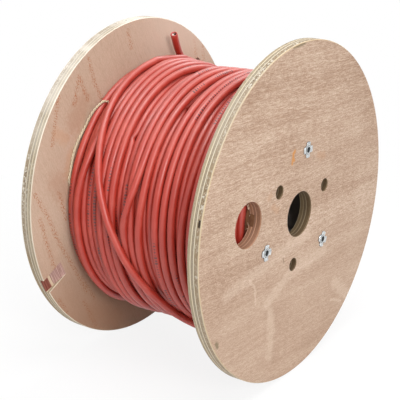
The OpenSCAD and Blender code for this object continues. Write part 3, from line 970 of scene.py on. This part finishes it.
def plywood(name, grain_turn, palette, tints, rims, groups, hole_tint):
    """Board material. grain_turn is the angle of the grain in the face, palette its dark,
    middle and pale wood; tints and rims are functions that add this board's own marks."""
    veneer, plies, stroke = groups
    made, tree, shader = new_material(name)
    place = put(tree, "ShaderNodeTexCoord").outputs["Object"]
    split = put(tree, "ShaderNodeSeparateXYZ", {0: place})
    flat = face_place(tree, split.outputs)
    turned = put(tree, "ShaderNodeMapping", {"Vector": flat, "Rotation": (0, 0, -grain_turn)}).outputs[0]
    wood = use_group(tree, veneer, Place=turned)
    tone = wood.outputs["Tone"]
    face = ramp(tree, tone, list(zip((0.12, 0.38, 0.62, 0.88), palette)))
    face = tinted(tree, wood.outputs["Pores"], 0.45, face, linear(140, 100, 72))
    deep = calc(tree, "SUBTRACT", calc(tree, "ABSOLUTE", split.outputs["Y"]), INNER)
    depth = calc(tree, "DIVIDE", deep, FLANGE_T)
    face = tints(tree, face, flat, turned, stroke, deep)
    out_r = put(tree, "ShaderNodeVectorMath", {0: flat}, operation="LENGTH").outputs["Value"]
    in_hole = between(tree, out_r, 0.165, 0.150)
    rough = between(tree, split.outputs["Z"], -0.05, 0.03, 0.3, 1.0)
    rough = calc(tree, "MULTIPLY", rough, between(tree, in_hole, 0, 1, 1.0, 0.15))
    edge = use_group(tree, plies, Depth=depth, Place=place, Rough=rough)
    normal = put(tree, "ShaderNodeNewGeometry").outputs["Normal"]
    facing = put(tree, "ShaderNodeSeparateXYZ", {0: normal}).outputs["Y"]
    on_face = between(tree, calc(tree, "ABSOLUTE", facing), 0.80, 0.92)
    access = put(tree, "ShaderNodeVectorMath", {0: flat, 1: ACCESS_AT}, operation="DISTANCE")
    access = between(tree, access.outputs["Value"], 0.034, 0.028)
    shade = blend(tree, access, hole_tint, ACCESS_TINT)
    edge_colour = tinted(tree, in_hole, 1.0, edge.outputs["Color"], shade, "MULTIPLY")
    colour = blend(tree, on_face, rims(tree, edge_colour, flat, deep), face)
    height = put(tree, "ShaderNodeMix", {0: on_face, 2: edge.outputs["Height"], 3: tone}).outputs[0]
    feed(tree, shader, Base_Color=colour, Roughness=0.72, Normal=bump(tree, height, 0.35, 0.0004))
    shader.inputs["Specular IOR Level"].default_value = 0.25
    return made


def rim_of_front(tree, edge, flat, deep):
    """The brown rough ply has a void in the rim, painted near black as the shade inside it."""
    void = put(tree, "ShaderNodeVectorMath", {0: flat, 1: VOID_AT}, operation="DISTANCE")
    void = between(tree, void.outputs["Value"], 0.0050, 0.0030)
    off_ply = calc(tree, "ABSOLUTE", calc(tree, "SUBTRACT", deep, 0.0117))
    void = calc(tree, "MULTIPLY", void, between(tree, off_ply, 0.0016, 0.0010))
    return tinted(tree, void, 0.95, edge, linear(38, 26, 18))


def rim_of_rear(tree, edge, flat, deep):
    """Painted light high up: near white in patches, with the plies hardly showing."""
    high = between(tree, put(tree, "ShaderNodeSeparateXYZ", {0: flat}).outputs["Y"], 0.04, 0.17)
    patchy = between(tree, noise(tree, flat, 24.0, 2.0), 0.35, 0.60, 0.25, 1.0)
    return tinted(tree, calc(tree, "MULTIPLY", high, patchy), 0.75, edge, linear(240, 232, 220))


def front_tints(tree, face, flat, turned, stroke, deep):
    pale = linear(226, 205, 186)
    figure = noise(tree, scaled(tree, turned, (55, 640, 1)), 1.0, 3.0, 0.75, 0.8)
    upper = between(tree, put(tree, "ShaderNodeSeparateXYZ", {0: flat}).outputs["Y"], 0.02, 0.12)
    figured = calc(tree, "MULTIPLY", between(tree, figure, 0.50, 0.64), upper)
    face = tinted(tree, figured, 0.38, face, linear(150, 112, 84))
    light = calc(tree, "MULTIPLY", between(tree, figure, 0.46, 0.34), upper)
    face = tinted(tree, light, 0.35, face, linear(224, 202, 182))
    calm = between(tree, put(tree, "ShaderNodeSeparateXYZ", {0: flat}).outputs["Y"], 0.00, -0.10)
    face = tinted(tree, calm, 0.35, face, linear(182, 155, 134))
    bands = marks(tree, stroke, flat, [
        [(-150, -48), (-60, -38), (20, -32)], [(-66, -88), (-20, -68), (60, -66)],
        [(-60, -103), (-56, -128), (-60, -156)], [(90, -118), (130, -150)]], 0.011, 0.020)
    face = tinted(tree, bands, 0.24, face, pale)
    scratches = marks(tree, stroke, flat, [
        [(-104, -46), (-93, -58), (-91, -78)], [(85, -140), (112, -152)]], 0.0028, 0.006)
    face = tinted(tree, scratches, 0.28, face, pale)
    warm = marks(tree, stroke, flat, [
        [(-58, 25), (-50, 20)], [(-66, 40)], [(40, 60), (52, 57)]], 0.007, 0.016)
    face = tinted(tree, warm, 0.35, face, linear(186, 142, 108))
    stain = marks(tree, stroke, flat, [
        [(-15, 79), (-18.5, 77), (-18, 72), (-20, 66)], [(-18, 72), (-16, 68)]], 0.0032, 0.0046)
    face = tinted(tree, stain, 0.9, face, linear(198, 136, 72))
    scuff = marks(tree, stroke, flat, [
        [(-22, 198.5), (0, 199.5)], [(-168, -96), (-165, -101)]], 0.0040, 0.006)
    face = tinted(tree, scuff, 0.8, face, linear(124, 110, 84))
    dots = marks(tree, stroke, flat, [
        [(-34, -44), (-32, -50)], [(29, 60)], [(60, -25)]], 0.0016, 0.002)
    return tinted(tree, dots, 0.6, face, linear(128, 108, 84))


def rear_tints(tree, face, flat, turned, stroke, deep):
    face = blend(tree, 0.45, face, linear(197, 172, 151))
    warm = marks(tree, stroke, flat, [
        [(-155, 35), (-140, 20)], [(-120, 100), (-105, 118)], [(-100, -150), (-60, -176)]],
        0.022, 0.030)
    face = tinted(tree, warm, 0.35, face, linear(176, 132, 104))
    rows = marks(tree, stroke, flat, [
        [(-190, 29), (-176, 5), (-155, -39), (-128, -86), (-112, -118)],
        [(-185, -1), (-174, -40), (-165, -70)], [(-152, 22), (-142, -12)],
        [(-117, -129), (-96, -170)], [(116, 156), (119, 128)], [(135, 150), (136, 116)],
        [(-146, 134), (-160, 80)], [(-110, 150), (-120, 120)], [(-160, -110), (-148, -132)],
        [(-120, -96), (-98, -130)], [(-92, 168), (-84, 140), (-70, 112)], [(-108, 148), (-96, 122)],
        [(-20, 190), (-14, 168)]], 0.0046, 0.0080)
    dots = noise(tree, scaled(tree, turned, (430, 700, 1)), 1.0, 2.0, 0.6)
    rows = calc(tree, "MULTIPLY", rows, between(tree, dots, 0.50, 0.59))
    face = tinted(tree, rows, 0.9, face, linear(170, 104, 60))
    cluster = marks(tree, stroke, flat, [
        [(-150, 92), (-138, 84)], [(-128, 62), (-134, 40)]], 0.012, 0.018)
    face = tinted(tree, cluster, 0.35, face, linear(196, 146, 108))
    split = put(tree, "ShaderNodeSeparateXYZ", {0: flat}).outputs
    # painted light: paler on the upper face; painted shade: darker low down in the middle, where the
    # winding shades the face
    lit = calc(tree, "MULTIPLY", between(tree, split["X"], -0.03, 0.07),
               between(tree, split["Y"], 0.11, 0.17))
    face = tinted(tree, lit, 0.6, face, linear(226, 202, 184))
    low = calc(tree, "MULTIPLY", between(tree, split["Y"], 0.00, -0.16),
               between(tree, split["X"], 0.06, -0.06))
    face = tinted(tree, low, 0.65, face, linear(152, 114, 86))
    # the ramped notch cuts through the plies: streaked pink, a cream line, then dark red wood
    streaks = noise(tree, scaled(tree, turned, (30, 700, 1)), 1.0, 3.0, 0.6)
    pink = ramp(tree, streaks, [(0.35, linear(138, 96, 92)), (0.62, linear(198, 168, 156))])
    layer = calc(tree, "ADD", deep, centred(tree, streaks, 0.0006))
    cut = blend(tree, between(tree, layer, 0.0032, 0.0034), pink, linear(212, 192, 164))
    block = ramp(tree, streaks, [(0.35, linear(112, 58, 48)), (0.62, linear(150, 92, 78))])
    cut = blend(tree, between(tree, layer, 0.0039, 0.0041), cut, block)
    inside = calc(tree, "MULTIPLY", between(tree, deep, 0.00010, 0.00022),
                  between(tree, deep, 0.0080, 0.0070))
    return tinted(tree, inside, 1.0, face, cut)


# ---------------------------------------------------------------- other materials

def cable_material():
    made, tree, shader = new_material("red_sheath")
    uv = put(tree, "ShaderNodeUVMap", uv_map="UVMap").outputs[0]
    place = put(tree, "ShaderNodeTexCoord").outputs["Object"]
    split = put(tree, "ShaderNodeSeparateXYZ", {0: uv})
    along, round_it = split.outputs["X"], split.outputs["Y"]
    dust = noise(tree, place, 38.0, 4.0, 0.6)
    drawn = noise(tree, scaled(tree, uv, (3, 36, 1)), 1.0, 2.0)
    tone = calc(tree, "ADD", calc(tree, "MULTIPLY", dust, 0.6), calc(tree, "MULTIPLY", drawn, 0.4))
    colour = ramp(tree, tone, [
        (0.30, linear(160, 41, 27)), (0.5, linear(173, 51, 36)), (0.72, linear(190, 77, 62))])
    # small ink ticks in a row along the sheath, a few at a time
    cell = calc(tree, "MULTIPLY", along, 1 / INK_CELL)
    step = calc(tree, "FLOOR", cell)
    inside = calc(tree, "FRACT", cell)
    pick = put(tree, "ShaderNodeTexWhiteNoise", {"W": step}, noise_dimensions="1D").outputs["Value"]
    wide = calc(tree, "LESS_THAN", inside, calc(tree, "MULTIPLY_ADD", pick, 0.34, 0.24))
    drift = noise(tree, put(tree, "ShaderNodeCombineXYZ", {"X": along}).outputs[0], 1.3, 0.0)
    centre = calc(tree, "MULTIPLY_ADD", drift, 0.9, -0.2)
    off = calc(tree, "SUBTRACT", round_it, centre)
    off = calc(tree, "FRACT", calc(tree, "ADD", off, 2.5))
    off = calc(tree, "ABSOLUTE", calc(tree, "SUBTRACT", off, 0.5))
    high = calc(tree, "MULTIPLY_ADD", pick, 0.028, 0.036)
    mark = calc(tree, "MULTIPLY", wide, calc(tree, "LESS_THAN", off, high))
    part = calc(tree, "FRACT", calc(tree, "MULTIPLY", along, 1 / INK_REPEAT))
    run = calc(tree, "GREATER_THAN", part, INK_BARE)
    word = calc(tree, "FLOOR", calc(tree, "MULTIPLY", cell, 0.2))
    gap = put(tree, "ShaderNodeTexWhiteNoise", {"W": word}, noise_dimensions="1D").outputs["Value"]
    gap = calc(tree, "GREATER_THAN", gap, 0.3)
    mark = calc(tree, "MULTIPLY", calc(tree, "MULTIPLY", mark, run), gap)
    normal = put(tree, "ShaderNodeNewGeometry").outputs["Normal"]
    # painted sheen: sides that face up are tinted pale pink, standing in for the broad highlight of the
    # lamp above
    painted_sheen_up = between(tree, put(tree, "ShaderNodeSeparateXYZ", {0: normal}).outputs["Z"], 0.35, 0.95)
    colour = tinted(tree, painted_sheen_up, 0.19, colour, linear(206, 146, 138))
    colour = tinted(tree, mark, 0.85, colour, linear(46, 20, 26))
    gloss = between(tree, dust, 0.3, 0.7, 0.38, 0.52)
    feed(tree, shader, Base_Color=colour, Roughness=gloss,
         Normal=bump(tree, tone, 0.12, 0.0003))
    shader.inputs["Specular IOR Level"].default_value = 0.80
    return made


def zinc_material(name, shaded_and_grimy=False):
    """Bright zinc plate; a grimy piece is dark with painted shade and grime where its own attribute says
    so.
    """
    made, tree, shader = new_material(name)
    place = put(tree, "ShaderNodeTexCoord").outputs["Object"]
    cloud = noise(tree, place, 260.0, 3.0, 0.6)
    fleck = noise(tree, place, 1500.0, 2.0)
    colour = ramp(tree, cloud, [(0.3, linear(186, 190, 192)), (0.7, linear(238, 240, 240))])
    rough = between(tree, fleck, 0.3, 0.7, 0.20, 0.40)
    if shaded_and_grimy:
        grime = put(tree, "ShaderNodeAttribute", attribute_name="grime").outputs["Fac"]
        painted_shade_and_grime = calc(tree, "ADD", grime, centred(tree, noise(tree, place, 620.0, 2.0), 0.25))
        painted_shade_and_grime = between(tree, painted_shade_and_grime, 0.35, 0.75)
        colour = tinted(tree, painted_shade_and_grime, 0.92, colour, linear(40, 42, 40))
        rough = calc(tree, "MULTIPLY_ADD", painted_shade_and_grime, 0.25, rough)
    feed(tree, shader, Base_Color=colour, Roughness=rough, Metallic=1.0,
         Normal=bump(tree, cloud, 0.4, 0.0004))
    return made


def splinter_material():
    made, tree, shader = new_material("torn_veneer")
    uv = put(tree, "ShaderNodeUVMap", uv_map="UVMap").outputs[0]
    grain = noise(tree, scaled(tree, uv, (300, 8, 1)), 1.0, 3.0, 0.6)
    colour = ramp(tree, grain, [(0.3, linear(186, 152, 126)), (0.7, linear(226, 200, 176))])
    feed(tree, shader, Base_Color=colour, Roughness=0.8, Normal=bump(tree, grain, 0.4, 0.0002))
    return made


def fibre_material():
    made, tree, shader = new_material("wound_fibre")
    place = put(tree, "ShaderNodeTexCoord").outputs["Object"]
    split = put(tree, "ShaderNodeSeparateXYZ", {0: place})
    turn = calc(tree, "ARCTAN2", split.outputs["Z"], split.outputs["X"])
    lay = calc(tree, "FRACT", calc(tree, "ADD", calc(tree, "MULTIPLY", turn, 1 / TAU),
                                  calc(tree, "MULTIPLY", split.outputs["Y"], 9.0)))
    seam = calc(tree, "LESS_THAN", lay, 0.02)
    felt = noise(tree, scaled(tree, place, (90, 260, 90)), 1.0, 4.0, 0.6)
    colour = ramp(tree, felt, [(0.3, linear(96, 66, 44)), (0.7, linear(138, 98, 66))])
    colour = blend(tree, seam, colour, linear(60, 36, 20))
    flat = face_place(tree, split.outputs)
    radius = put(tree, "ShaderNodeVectorMath", {0: flat}, operation="LENGTH").outputs["Value"]
    inner = between(tree, radius, DRUM_R - 0.0020, DRUM_R - 0.0030)
    colour = tinted(tree, inner, 0.85, colour, linear(176, 172, 166))
    feed(tree, shader, Base_Color=colour, Roughness=0.8, Normal=bump(tree, felt, 0.3, 0.0003))
    return made


def core_material(name, low, high):
    made, tree, shader = new_material(name)
    place = put(tree, "ShaderNodeTexCoord").outputs["Object"]
    cloud = noise(tree, place, 900.0, 2.0)
    colour = ramp(tree, cloud, [(0.3, linear(*low)), (0.7, linear(*high))])
    feed(tree, shader, Base_Color=colour, Roughness=0.5, Normal=bump(tree, cloud, 0.2, 0.0001))
    return made


def copper_material():
    made, tree, shader = new_material("cut_copper")
    place = put(tree, "ShaderNodeTexCoord").outputs["Object"]
    cloud = noise(tree, place, 3000.0, 2.0)
    colour = ramp(tree, cloud, [(0.3, linear(176, 108, 66)), (0.7, linear(216, 150, 104))])
    feed(tree, shader, Base_Color=colour, Roughness=0.35, Metallic=1.0,
         Normal=bump(tree, cloud, 0.3, 0.0001))
    return made


def twine_material():
    made, tree, shader = new_material("cream_twine")
    along = put(tree, "ShaderNodeAttribute", attribute_name="ply_along").outputs["Fac"]
    around = put(tree, "ShaderNodeAttribute", attribute_name="ply_round").outputs["Fac"]
    ply = put(tree, "ShaderNodeCombineXYZ", {"X": along, "Y": around}).outputs[0]
    yarn = noise(tree, scaled(tree, ply, (500, 14, 1)), 1.0, 3.0, 0.6)
    colour = ramp(tree, yarn, [(0.3, linear(184, 168, 138)), (0.7, linear(222, 209, 182))])
    feed(tree, shader, Base_Color=colour, Roughness=0.9, Normal=bump(tree, yarn, 0.5, 0.0003))
    return made


def assign(piece, material):
    if not piece.data.materials:
        piece.data.materials.append(material)
    for i in range(len(piece.data.materials)):
        piece.data.materials[i] = material


# ---------------------------------------------------------------- floor, background, lights

FLOOR_HALF = 6.0


def seen_directly(tree):
    """1 for what the camera sees, also in a mirror or through glass."""
    light_path = put(tree, "ShaderNodeLightPath").outputs
    mirrored = calc(tree, "MAXIMUM", light_path["Is Glossy Ray"], light_path["Is Transmission Ray"])
    return calc(tree, "MAXIMUM", light_path["Is Camera Ray"], mirrored)


def build_floor():
    half = FLOOR_HALF
    z = -FLANGE_R
    corners = [(-half, -half, z), (half, -half, z), (half, half, z), (-half, half, z)]
    floor = make_object("floor", corners, [(0, 1, 2, 3)], smooth=False)
    made = bpy.data.materials.new("pale_floor")
    made.use_nodes = True
    tree = made.node_tree
    tree.nodes.clear()
    plain = put(tree, "ShaderNodeBsdfDiffuse", {"Color": (0.86, 0.86, 0.86, 1)}).outputs[0]
    white = put(tree, "ShaderNodeEmission", {"Color": (1, 1, 1, 1), "Strength": 1.0}).outputs[0]
    seen = seen_directly(tree)
    place = put(tree, "ShaderNodeTexCoord").outputs["Object"]
    away = put(tree, "ShaderNodeVectorMath", {0: place, 1: (0, 0, -FLANGE_R)}, operation="DISTANCE")
    keep = between(tree, away.outputs["Value"], 0.25, 0.75, 0.87, 1.0)
    share = calc(tree, "MULTIPLY", seen, keep)
    surface = put(tree, "ShaderNodeMixShader", {0: share, 1: plain, 2: white}).outputs[0]
    put(tree, "ShaderNodeOutputMaterial", {"Surface": surface})
    floor.data.materials.append(made)


def set_world():
    world = bpy.data.worlds.new("studio")
    scene.world = world
    world.use_nodes = True
    tree = world.node_tree
    tree.nodes.clear()
    seen = seen_directly(tree)
    air = put(tree, "ShaderNodeBackground", {"Color": (1, 1, 1, 1), "Strength": 0.35}).outputs[0]
    white = put(tree, "ShaderNodeBackground", {"Color": (1, 1, 1, 1), "Strength": 1.0}).outputs[0]
    sky = put(tree, "ShaderNodeMixShader", {0: seen, 1: air, 2: white}).outputs[0]
    put(tree, "ShaderNodeOutputWorld", {"Surface": sky})


def add_light(name, place, aim, size, energy):
    data = bpy.data.lights.new(name, "AREA")
    data.shape = "SQUARE"
    data.size = size
    data.energy = energy
    lamp = bpy.data.objects.new(name, data)
    scene.collection.objects.link(lamp)
    lamp.location = place
    lamp.rotation_euler = (Vector(aim) - Vector(place)).to_track_quat("-Z", "Y").to_euler()


def set_lights():
    add_light("key_softbox", (-1.25, -1.60, 1.05), (0, 0, 0), 0.7, 26)
    add_light("top_softbox", (-0.35, -0.50, 2.1), (0, 0, 0), 1.3, 36)
    add_light("edge_softbox", (1.9, 0.25, 1.6), (0, 0, 0.1), 1.1, 20)


# ---------------------------------------------------------------- build

set_camera()
cable, path, wound_angle, wound_y, wound_r = build_cable()
red = cable_material()
assign(cable, red)
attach(cable, BODY)
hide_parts("cable_outer_layer", "cable_end_loop", "cable_cut_end")

lower = build_lower_layers()
assign(lower, red)
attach(lower, BODY)
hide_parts("cable_bulk")

for turns_name, side in (("front_side_turns", -1), ("rear_side_turns", 1)):
    turns = build_side_turns(turns_name, side)
    assign(turns, red)
    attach(turns, BODY)

twine = build_twine(twine_line(wound_angle, wound_y, wound_r), twine_material())
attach(twine, BODY)
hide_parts("tie_twine")

groups = (veneer_group(), ply_group(), stroke_group())
front_wood = plywood("front_plywood", math.radians(-4), FRONT_PALETTE, front_tints, rim_of_front,
                     groups, FRONT_HOLE_TINT)
rear_wood = plywood("rear_plywood", math.radians(-66), REAR_PALETTE, rear_tints, rim_of_rear,
                    groups, REAR_HOLE_TINT)
assign(nodes["front_flange"], front_wood)
assign(nodes["rear_flange"], rear_wood)
assign(nodes["drum_tube"], fibre_material())

splinters = build_splinters()
assign(splinters, splinter_material())
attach(splinters, BODY)

zinc = zinc_material("zinc_plate")
# the tee nuts' zinc, darkened with painted shade and grime in its recesses
shaded_grimy_zinc = zinc_material("worn_zinc_plate", True)
prong = build_prong()
pronged = nut_tree()
for number in (1, 2, 3):
    nut = build_tee_nut("lobed_tee_nut_%d" % number, number, pronged, prong, shaded_grimy_zinc)
    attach(nut, BODY)
    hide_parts("tee_nut_%d" % number)
    assign(nodes["tie_bolt_%d" % number], zinc)
    assign(nodes["bolt_washer_%d" % number], zinc)
bpy.data.objects.remove(prong)
assign(nodes["core_black"], core_material("black_core", (22, 22, 26), (40, 40, 46)))
assign(nodes["core_white"], core_material("white_core", (206, 203, 196), (232, 230, 224)))
assign(nodes["copper_conductors"], copper_material())

build_floor()
set_world()
set_lights()
scene.view_settings.view_transform = "Standard"
